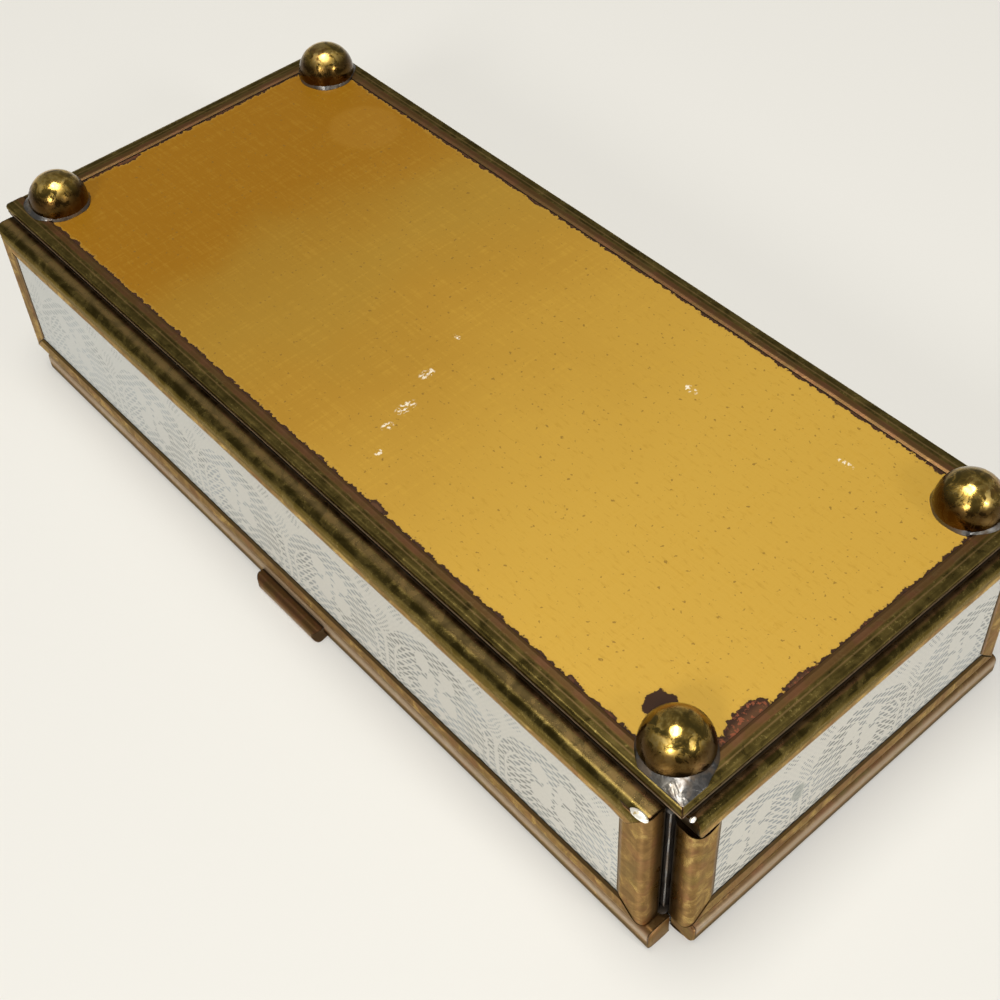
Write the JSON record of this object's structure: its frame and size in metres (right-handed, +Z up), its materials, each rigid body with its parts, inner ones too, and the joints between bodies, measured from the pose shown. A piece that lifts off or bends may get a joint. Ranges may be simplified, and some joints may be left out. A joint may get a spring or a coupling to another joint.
{
  "type": "glass keepsake casket",
  "caption": "Low rectangular casket of lace glass walls in brass came, with a mirror base on ball feet and a hinged clear glass lid with a lift tab.",
  "frame": {"origin": "middle of the bounding box's bottom face, on the plane the feet stand on", "axes": "+X along the length, to the right seen from the front; +Y from the front, with the lift tab, to the hinges at the back; +Z up"},
  "size_m": [0.165, 0.0788, 0.0399],
  "materials": {
    "brass": "aged brass came, mottled olive and brown patina with worn gold highlights",
    "lace_glass": "clear glass printed with white lace, net and scalloped fans",
    "clear_glass": "plain clear polished glass",
    "mirror": "silvered mirror, facing into the box",
    "gold_backing": "satin gold paint on the mirror's back, corroded brown along its edges",
    "solder": "dull grey soft solder with bright spots"
  },
  "bodies": {
    "case": {"front_frame": "brass", "front_glass": "lace_glass", "back_frame": "brass", "back_glass": "lace_glass", "left_frame": "brass", "left_glass": "lace_glass", "right_frame": "brass", "right_glass": "lace_glass", "seam_front_left": "solder", "seam_front_right": "solder", "seam_back_left": "solder", "seam_back_right": "solder", "base_frame": "brass", "base_mirror": "mirror", "base_backing": "gold_backing", "foot_front_left": "brass", "foot_front_right": "brass", "foot_back_left": "brass", "foot_back_right": "brass", "foot_solder_front_left": "solder", "foot_solder_front_right": "solder", "foot_solder_back_left": "solder", "foot_solder_back_right": "solder", "hinge_left_case": "brass", "hinge_left_pin": "brass", "hinge_right_case": "brass", "hinge_right_pin": "brass", "hinge_case_solder": "solder"},
    "lid": {"lid_frame": "brass", "lid_glass": "clear_glass", "lid_tab": "brass", "hinge_left_lid": "brass", "hinge_right_lid": "brass", "hinge_lid_solder": "solder"}
  },
  "joints": [
    {"name": "lid_hinge", "type": "hinge", "parent": "case", "child": "lid", "pos_m": [0.00005, 0.0378, 0.0351], "axis": [-1, 0, 0], "range_deg": [0, 105]}
  ]
}
